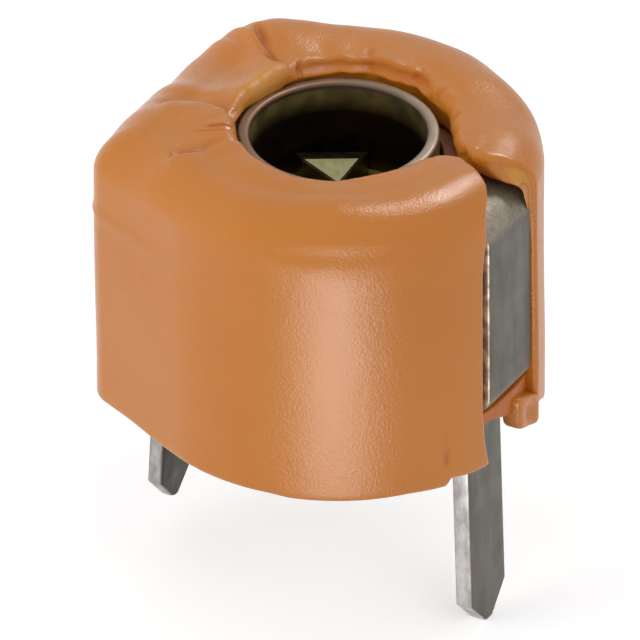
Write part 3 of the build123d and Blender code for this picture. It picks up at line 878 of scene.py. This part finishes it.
def build_adjuster_lands(settings, material):
    """The four lands round the cross recess, each with an upright side, a bevel and a top.

    In a land's own axes, x outwards, the top slopes up by 0.50 from its point to a crease at x = 0.92
    and runs level from there to its straight back.
    """
    foot, top = settings.floor / MM - 0.02, settings.land / MM + 0.115
    crease, slope, bevel, half_width = 0.92, 0.50, 0.026, 0.35
    outline = np.array([(0.53, 0.0), (crease, -0.33), (1.12, -0.44), (1.12, 0.63), (crease, 0.52)])
    inner = outline + (np.array([crease, 0.08]) - outline) * bevel / half_width
    rise, inner_rise = (slope * np.minimum(ring[:, 0] - crease, 0.0) for ring in (outline, inner))
    size = len(outline)
    rings = np.concatenate([
        np.column_stack([outline, np.full(size, foot)]),
        np.column_stack([outline, top - bevel + rise]),
        np.column_stack([inner, top + inner_rise]),
    ])
    last = 2 * size
    one = grid_faces(3, size, close_columns=True).tolist()
    one += [list(range(size)), [last, last + 1, last + 4], [last + 1, last + 2, last + 3, last + 4]]
    points, faces = [], []
    for number, turn in enumerate(np.radians(LAND_TURNS)):
        cosine, sine = np.cos(turn), np.sin(turn)
        points.append(rings @ np.array([[cosine, sine, 0], [-sine, cosine, 0], [0, 0, 1]]))
        faces += [[corner + number * len(rings) for corner in face] for face in one]
    return add_piece(
        "adjuster_lands", points, faces, material, "rotor", sharp_above=25.0)


# Materials

def new_material(name):
    """An empty node material with a Principled shader, and its tree."""
    material = bpy.data.materials.new(name)
    material.use_nodes = True
    tree = material.node_tree
    tree.nodes.clear()
    output = tree.nodes.new("ShaderNodeOutputMaterial")
    shader = tree.nodes.new("ShaderNodeBsdfPrincipled")
    tree.links.new(shader.outputs["BSDF"], output.inputs["Surface"])
    return material, tree, shader


def object_place(tree, axis=None):
    """Object coordinates, or one of their axes."""
    node = tree.nodes.new("ShaderNodeTexCoord")
    if axis is None:
        return node.outputs["Object"]
    split = tree.nodes.new("ShaderNodeSeparateXYZ")
    tree.links.new(node.outputs["Object"], split.inputs["Vector"])
    return split.outputs[axis]


def noise(tree, scale, detail=3.0, stretch=(1.0, 1.0, 1.0), roughness=0.5):
    """Noise on Object coordinates with that many features to the metre; returns its factor."""
    mapping = tree.nodes.new("ShaderNodeMapping")
    mapping.inputs["Scale"].default_value = stretch
    texture = tree.nodes.new("ShaderNodeTexNoise")
    texture.inputs["Scale"].default_value = scale
    texture.inputs["Detail"].default_value = detail
    texture.inputs["Roughness"].default_value = roughness
    tree.links.new(object_place(tree), mapping.inputs["Vector"])
    tree.links.new(mapping.outputs["Vector"], texture.inputs["Vector"])
    return texture.outputs["Fac"]


def ranged(tree, value, low, high, to_low=0.0, to_high=1.0):
    """Maps a value from low..high to to_low..to_high."""
    node = tree.nodes.new("ShaderNodeMapRange")
    for key, number in (("From Min", low), ("From Max", high), ("To Min", to_low), ("To Max", to_high)):
        node.inputs[key].default_value = number
    tree.links.new(value, node.inputs["Value"])
    return node.outputs["Result"]


def combined(tree, operation, *values):
    """Sum, product or other two-value operation over sockets, from the first to the last."""
    total = values[0]
    for value in values[1:]:
        node = tree.nodes.new("ShaderNodeMath")
        node.operation = operation
        tree.links.new(total, node.inputs[0])
        tree.links.new(value, node.inputs[1])
        total = node.outputs[0]
    return total


def mixed(tree, factor, first, second):
    """Colour mix of two sockets or constant colours by a factor."""
    node = tree.nodes.new("ShaderNodeMix")
    node.data_type = "RGBA"
    tree.links.new(factor, node.inputs["Factor"])
    for key, colour in ((6, first), (7, second)):
        if isinstance(colour, bpy.types.NodeSocket):
            tree.links.new(colour, node.inputs[key])
        else:
            node.inputs[key].default_value = (*colour, 1.0)
    return node.outputs[2]


def scaled(colour, factor):
    """A constant colour times a factor."""
    return tuple(factor * channel for channel in colour)


def attribute(tree, name):
    """The factor of a point attribute."""
    node = tree.nodes.new("ShaderNodeAttribute")
    node.attribute_name = name
    return node.outputs["Fac"]


def finish_shader(tree, shader, colour, roughness, layers):
    """Links colour and roughness to the shader, and chains bump nodes into it.

    There is one bump node for each (height, distance in metres, strength).
    """
    tree.links.new(colour, shader.inputs["Base Color"])
    tree.links.new(roughness, shader.inputs["Roughness"])
    normal = None
    for height, distance, strength in layers:
        node = tree.nodes.new("ShaderNodeBump")
        node.inputs["Distance"].default_value = distance
        node.inputs["Strength"].default_value = strength
        tree.links.new(height, node.inputs["Height"])
        if normal is not None:
            tree.links.new(normal, node.inputs["Normal"])
        normal = node.outputs["Normal"]
    tree.links.new(normal, shader.inputs["Normal"])


def cover_plastic(settings):
    """Satin orange thermoplastic with fine orange peel, and painted shade of deeper orange in its folds and
    hollows.
    """
    material, tree, shader = new_material("orange_thermoplastic")
    fold, wax = attribute(tree, "fold"), attribute(tree, "wax")
    slow = ranged(tree, noise(tree, 450.0, 2.0), 0.35, 0.65)
    body = mixed(tree, slow, tuple(settings.colour), tuple(settings.pale_colour))
    # the fold mark paints shade of deeper orange into creases and hollows, and on torn edges part of it is
    # their own colour
    body = mixed(tree, fold, body, tuple(settings.shade_and_torn_colour))
    body = mixed(tree, wax, body, tuple(settings.wax_colour))
    # folds and waxy places are duller, and the far half of the crown has a duller skin than the front
    roughness = combined(
        tree, "ADD",
        ranged(tree, noise(tree, 9000.0), 0.3, 0.7, 0.15, 0.21),
        ranged(tree, fold, 0.0, 1.0, 0.0, 0.20),
        ranged(tree, wax, 0.0, 1.0, 0.0, 0.28),
        ranged(tree, object_place(tree, "Y"), 0.0002, 0.0010, 0.0, 0.16))
    shader.inputs["Specular IOR Level"].default_value = 0.42
    shader.inputs["Subsurface Weight"].default_value = 0.12
    shader.inputs["Subsurface Radius"].default_value = (1.0, 0.45, 0.2)
    shader.inputs["Subsurface Scale"].default_value = 0.00025
    finish_shader(tree, shader, body, roughness, [
        (noise(tree, 5200.0, 2.0), 0.000010, 0.35),
        (noise(tree, 27000.0, 3.0, roughness=0.6), 0.000010, 0.9),
    ])
    return material


def strip_metal(settings, name, tone=1.0):
    """Dull tinned strip with faint drawing lines and brass on its cut edges, with painted brown shade under
    the cover and painted highlights on its bends; tone scales its faces.
    """
    shade_brown = (0.40, 0.14, 0.055)
    bend_highlight_dark, bend_highlight_pale = (0.24, 0.21, 0.165), (0.32, 0.285, 0.23)
    silver_dark, silver_pale = (0.33, 0.31, 0.30), (0.55, 0.53, 0.51)
    material, tree, shader = new_material(name)
    painted_shade, bend = attribute(tree, "painted_shade"), attribute(tree, "bend")
    patch = ranged(tree, noise(tree, 3600.0, 4.0, (1.0, 1.0, 0.22)), 0.3, 0.7)
    face = mixed(tree, patch, scaled(settings.colour, 0.80 * tone), scaled(settings.colour, 1.20 * tone))
    # painted shade and orange reflection: brown where the cover overhangs the yoke and the strap's top
    shade_weight = combined(tree, "MULTIPLY", ranged(tree, noise(tree, 6500.0), 0.35, 0.62, 1.0, 0.55), painted_shade)
    face = mixed(tree, shade_weight, face, shade_brown)
    mottle = ranged(tree, noise(tree, 16000.0, 4.0, roughness=0.6), 0.35, 0.65)
    # painted highlight: paler mottled tin where the bend mark lies
    face = mixed(tree, bend, face, mixed(tree, mottle, bend_highlight_dark, bend_highlight_pale))
    patchy = ranged(tree, noise(tree, 7000.0, 4.0, (1.0, 1.0, 0.5)), 0.35, 0.65)
    face = mixed(tree, attribute(tree, "bare"), face, mixed(tree, patchy, silver_dark, silver_pale))
    worn = ranged(tree, noise(tree, 5200.0), 0.42, 0.62, 0.25, 1.0)
    weight = combined(tree, "MULTIPLY", worn, attribute(tree, "cut"))
    colour = mixed(tree, weight, face, tuple(settings.cut_colour))
    roughness = combined(
        tree, "ADD",
        ranged(tree, noise(tree, 3000.0), 0.3, 0.7, 0.40, 0.56),
        ranged(tree, bend, 0.0, 1.0, 0.0, 0.30))
    # the painted shade also makes the strip less metallic there
    tree.links.new(ranged(tree, painted_shade, 0.0, 1.0, 1.0, 0.25), shader.inputs["Metallic"])
    finish_shader(tree, shader, colour, roughness, [
        (noise(tree, 9000.0, 3.0, (1.0, 1.0, 0.12)), 0.000006, 0.5),
        (noise(tree, 26000.0, 2.0), 0.000003, 0.4),
    ])
    return material


def adjuster_metal(settings):
    """Plated rim over a stained bore that is painted near black below its top band as shade: the colour
    follows the height and, on the rim, the side.
    """
    bore_shade_dark, bore_shade_pale, floor_brass = (0.016, 0.010, 0.009), (0.034, 0.020, 0.014), (0.16, 0.11, 0.03)
    rim_brown = (0.145, 0.085, 0.055)
    material, tree, shader = new_material("plated_brass")
    height = object_place(tree, "Z")
    patch = ranged(tree, noise(tree, 2600.0, 4.0), 0.35, 0.65)
    # painted shade: the bore's wall is near black down its depth, below the olive band at its top
    deep = mixed(tree, patch, bore_shade_dark, bore_shade_pale)
    deep = mixed(tree, ranged(tree, height, 0.00305, 0.00330), floor_brass, deep)
    band = mixed(tree, patch, scaled(settings.bore_colour, 0.6), tuple(settings.bore_colour))
    wall = mixed(tree, ranged(tree, height, 0.00402, 0.00426), deep, band)
    rim = mixed(tree, patch, scaled(settings.colour, 0.8), tuple(settings.colour))
    rim = mixed(tree, ranged(tree, object_place(tree, "X"), -0.0010, 0.0012), rim_brown, rim)
    colour = mixed(tree, ranged(tree, height, 0.00438, 0.00442), wall, rim)
    roughness = ranged(tree, noise(tree, 4200.0), 0.3, 0.7, 0.46, 0.60)
    shader.inputs["Metallic"].default_value = 1.0
    finish_shader(tree, shader, colour, roughness, [(noise(tree, 14000.0), 0.000004, 0.5)])
    return material


def plain_metal(name, colour, rough, patch_scale=2200.0):
    """A metal with a patchy tone and fine relief."""
    material, tree, shader = new_material(name)
    patch = ranged(tree, noise(tree, patch_scale, 4.0), 0.3, 0.7)
    body = mixed(tree, patch, scaled(colour, 0.72), colour)
    roughness = ranged(tree, noise(tree, 5000.0), 0.3, 0.7, rough - 0.06, rough + 0.08)
    shader.inputs["Metallic"].default_value = 1.0
    finish_shader(tree, shader, body, roughness, [(noise(tree, 16000.0), 0.000004, 0.5)])
    return material


def ceramic(name, colour, speck):
    """Matt fired ceramic: fine grain, darker specks and a slight relief."""
    material, tree, shader = new_material(name)
    grain = ranged(tree, noise(tree, 12000.0, 4.0), 0.3, 0.7)
    specks = ranged(tree, noise(tree, 30000.0, 1.0), 0.68, 0.74, 0.0, 0.6)
    body = mixed(tree, specks, mixed(tree, grain, scaled(colour, 0.88), colour), speck)
    roughness = ranged(tree, noise(tree, 8000.0), 0.3, 0.7, 0.6, 0.78)
    finish_shader(tree, shader, body, roughness, [(noise(tree, 18000.0, 4.0), 0.000006, 0.6)])
    return material


# Stage

# the part's middle, which the lamps face, the turn of the band down the front, and the floor's height
PART_MIDDLE = (0.0, 0.0, 2.5)
BAND_TURN = 296.5
FLOOR_HEIGHT = -3.180


def axes_matrix(across, along, back, place):
    """The matrix of a thing with these three axes at a place in metres."""
    return Matrix([*zip(across, along, back, place), (0.0, 0.0, 0.0, 1.0)])


def add_lamp(name, place, aim, size, power, long_way=(0.0, 0.0, 1.0), gloss_only=False):
    """A soft rectangular lamp at a place, facing the aim point; sizes and places are millimetres.

    Its first size runs across long_way and its second along it. A gloss_only lamp is a card that is
    seen in reflections and lights nothing else, and any other lamp isn't seen in reflections.
    """
    lamp = bpy.data.lights.new(name, "AREA")
    lamp.shape = "RECTANGLE"
    lamp.size, lamp.size_y = size[0] * MM, size[1] * MM
    lamp.energy = power
    back = (Vector(place) - Vector(aim)).normalized()
    across = Vector(long_way).cross(back).normalized()
    thing = bpy.data.objects.new(name, lamp)
    thing.matrix_world = axes_matrix(across, back.cross(across), back, np.array(place) * MM)
    thing.visible_camera = False
    thing.visible_diffuse = not gloss_only
    thing.visible_glossy = gloss_only
    bpy.context.collection.objects.link(thing)


def around(turn, elevation, distance, centre=PART_MIDDLE):
    """The place at a turn, elevation and distance in millimetres from the centre."""
    turn, elevation = np.radians(turn), np.radians(elevation)
    way = (np.cos(turn) * np.cos(elevation), np.sin(turn) * np.cos(elevation), np.sin(elevation))
    return tuple(np.array(centre) + distance * np.array(way))


def pale_ray(tree):
    """1 for rays from the camera, off gloss or through glass, and 0 for the rest."""
    path = tree.nodes.new("ShaderNodeLightPath")
    names = ("Is Camera Ray", "Is Glossy Ray", "Is Transmission Ray")
    return combined(tree, "MAXIMUM", *(path.outputs[name] for name in names))


def build_camera(settings):
    """The camera at its azimuth, elevation and roll, and the plain view transform."""
    azimuth, elevation, roll = settings.azimuth, settings.elevation, settings.roll
    level = np.array([np.cos(azimuth), np.sin(azimuth), 0.0])
    back = np.array([
        np.sin(azimuth) * np.cos(elevation), -np.cos(azimuth) * np.cos(elevation), np.sin(elevation)])
    upright = np.cross(back, level)
    right = np.cos(roll) * level - np.sin(roll) * upright
    up = np.sin(roll) * level + np.cos(roll) * upright
    # the point of the part that stands in the middle of the picture
    middle = (-0.3008 * right + 1.0418 * up) * MM
    lens = bpy.data.cameras.new("photo_camera")
    lens.sensor_width = 36.0
    lens.lens = lens.sensor_width * settings.distance / settings.frame_width
    lens.clip_start = 0.01
    lens.clip_end = 2.0
    camera = bpy.data.objects.new("photo_camera", lens)
    camera.matrix_world = axes_matrix(right, up, back, middle + back * settings.distance)
    bpy.context.collection.objects.link(camera)
    bpy.context.scene.camera = camera
    bpy.context.scene.view_settings.view_transform = "Standard"


def build_floor(settings):
    """A pale disc of rings, r = 0.3 s^2 metres, just below the longer lead's point."""
    material, tree, shader = new_material("pale_floor")
    shader.inputs["Roughness"].default_value = 0.85
    shader.inputs["Emission Color"].default_value = (1.0, 1.0, 1.0, 1.0)
    colour = tuple(settings.floor_colour)
    tree.links.new(mixed(tree, noise(tree, 60.0), scaled(colour, 0.97), colour), shader.inputs["Base Color"])
    tree.links.new(ranged(tree, pale_ray(tree), 0.0, 1.0, 0.0, 0.35), shader.inputs["Emission Strength"])
    rings, count = 12, 64
    radii = 300.0 * np.linspace(0.02, 1.0, rings)[:, None] ** 2
    points = polar_points(radii, np.linspace(0.0, 360.0, count, endpoint=False), FLOOR_HEIGHT)
    mesh = bpy.data.meshes.new("floor")
    mesh.from_pydata(
        (points.reshape(-1, 3) * MM).tolist(), [],
        grid_faces(rings, count, close_columns=True).tolist() + [list(range(count))])
    mesh.materials.append(material)
    floor = bpy.data.objects.new("floor", mesh)
    bpy.context.collection.objects.link(floor)


def build_world():
    """A white sky, a little dimmer for the rays that light the part."""
    world = bpy.data.worlds.new("studio")
    bpy.context.scene.world = world
    world.use_nodes = True
    tree = world.node_tree
    tree.nodes.clear()
    output = tree.nodes.new("ShaderNodeOutputWorld")
    sky = tree.nodes.new("ShaderNodeBackground")
    sky.inputs["Color"].default_value = (1.0, 1.0, 1.0, 1.0)
    tree.links.new(ranged(tree, pale_ray(tree), 0.0, 1.0, 0.72, 1.0), sky.inputs["Strength"])
    tree.links.new(sky.outputs["Background"], output.inputs["Surface"])


def build_lamps():
    """Two soft lamps, and pale cards that are seen only in reflections.

    The cards' reflections are the bright band down the front, the crisp patch above it and the streak
    along the shoulder: two cards lie low on the floor, one stands in front and one high on the right.
    """
    add_lamp("key_lamp", around(225.0, 20.0, 120.0), PART_MIDDLE, (90.0, 54.0), 0.046)
    add_lamp("fill_lamp", around(330.0, 35.0, 120.0), PART_MIDDLE, (60.0, 60.0), 0.020)
    outwards = around(BAND_TURN, 0.0, 1.0, (0.0, 0.0, 0.0))
    for name, reach, size, power in (
            ("near_floor_card", 8.5, (4.2, 4.0), 0.00028), ("far_floor_card", 12.0, (7.4, 2.9), 0.00034)):
        low = around(BAND_TURN, 0.0, reach, (0.0, 0.0, -2.7))
        add_lamp(name, low, (low[0], low[1], 5.0), size, power, long_way=outwards, gloss_only=True)
    aim = (0.0, 0.0, -0.9)
    add_lamp("front_card", around(295.5, 0.0, 13.2, aim), aim, (7.2, 3.0), 0.00062, gloss_only=True)
    add_lamp("side_card", around(74.1, 56.1, 90.0), PART_MIDDLE, (20.0, 26.0), 0.056,
             long_way=(-0.098, 0.514, -0.226), gloss_only=True)


# Operators

class TRIMMER_OT_stage(bpy.types.Operator):
    """Set the camera, lamps and floor"""
    bl_idname = "trimmer.stage"
    bl_label = "Stage"

    def execute(self, context):
        settings = context.scene.trimmer_stage
        build_camera(settings)
        build_floor(settings)
        build_world()
        build_lamps()
        return {"FINISHED"}


class TRIMMER_OT_cover(bpy.types.Operator):
    """Build the moulded cover with its sill and bead"""
    bl_idname = "trimmer.cover"
    bl_label = "Cover"

    def execute(self, context):
        settings = context.scene.trimmer_cover
        material = cover_plastic(settings)
        build_cover(settings, material)
        build_sill(material)
        build_bead(material)
        return {"FINISHED"}


class TRIMMER_OT_terminals(bpy.types.Operator):
    """Build the two folded terminals"""
    bl_idname = "trimmer.terminals"
    bl_label = "Terminals"

    def execute(self, context):
        settings = context.scene.trimmer_strip
        build_rotor_terminal(settings, strip_metal(settings, "tinned_strip"))
        build_stator_terminal(settings, strip_metal(settings, "tinned_strip_dark", 0.50))
        return {"FINISHED"}


class TRIMMER_OT_adjuster(bpy.types.Operator):
    """Build the turned adjuster and its lands"""
    bl_idname = "trimmer.adjuster"
    bl_label = "Adjuster"

    def execute(self, context):
        settings = context.scene.trimmer_adjuster
        build_adjuster_body(settings, adjuster_metal(settings))
        brass = plain_metal("bright_brass", tuple(settings.land_colour), 0.30, 7000.0)
        build_adjuster_lands(settings, brass)
        return {"FINISHED"}


class TRIMMER_OT_inner_pieces(bpy.types.Operator):
    """Finish the ceramic pieces, films, joints and spring that the frame carries"""
    bl_idname = "trimmer.inner_pieces"
    bl_label = "Inner pieces"

    def execute(self, context):
        silver = plain_metal("silver_film", (0.80, 0.80, 0.78), 0.34)
        solder = plain_metal("solder", (0.55, 0.55, 0.54), 0.24)
        finishes = {
            "stator": ceramic("stator_ceramic", (0.66, 0.60, 0.48), (0.30, 0.26, 0.20)),
            "rotor_disc": ceramic("rotor_ceramic", (0.47, 0.38, 0.26), (0.22, 0.17, 0.12)),
            "stator_electrode": silver,
            "rotor_electrode": silver,
            "stator_solder": solder,
            "rotor_solder": solder,
            "spring_washer": plain_metal("spring_strip", (0.50, 0.49, 0.46), 0.28),
        }
        for name, material in finishes.items():
            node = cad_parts[name]
            if not node.material_slots:
                node.data.materials.append(None)
            for holder in node.material_slots:
                holder.link = "OBJECT"
                holder.material = material
        return {"FINISHED"}


class TRIMMER_PT_panel(bpy.types.Panel):
    """Lists the operators and the settings in the sidebar"""
    bl_label = "Trimmer capacitor"
    bl_idname = "TRIMMER_PT_panel"
    bl_space_type = "VIEW_3D"
    bl_region_type = "UI"
    bl_category = "Trimmer"

    def draw(self, context):
        for operator in OPERATORS:
            self.layout.operator(operator.bl_idname)
        for name in SETTINGS:
            box = self.layout.box()
            group = getattr(context.scene, name)
            for key in group.bl_rna.properties.keys():
                if key not in ("rna_type", "name"):
                    box.prop(group, key)


OPERATORS = (
    TRIMMER_OT_stage,
    TRIMMER_OT_cover,
    TRIMMER_OT_terminals,
    TRIMMER_OT_adjuster,
    TRIMMER_OT_inner_pieces,
)
SETTINGS = {
    "trimmer_cover": TrimmerCoverSettings,
    "trimmer_strip": TrimmerStripSettings,
    "trimmer_adjuster": TrimmerAdjusterSettings,
    "trimmer_stage": TrimmerStageSettings,
}


def register():
    """Registers the settings, the operators and the panel."""
    for name, group in SETTINGS.items():
        bpy.utils.register_class(group)
        setattr(bpy.types.Scene, name, bpy.props.PointerProperty(type=group))
    for tool in (*OPERATORS, TRIMMER_PT_panel):
        bpy.utils.register_class(tool)


def unregister():
    """Removes what register added, in the opposite order."""
    for tool in reversed((*OPERATORS, TRIMMER_PT_panel)):
        bpy.utils.unregister_class(tool)
    for name, group in reversed(SETTINGS.items()):
        delattr(bpy.types.Scene, name)
        bpy.utils.unregister_class(group)


def main():
    """Registers the add-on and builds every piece."""
    register()
    bpy.ops.trimmer.stage()
    bpy.ops.trimmer.cover()
    bpy.ops.trimmer.terminals()
    bpy.ops.trimmer.adjuster()
    bpy.ops.trimmer.inner_pieces()


if __name__ == "__main__":
    main()
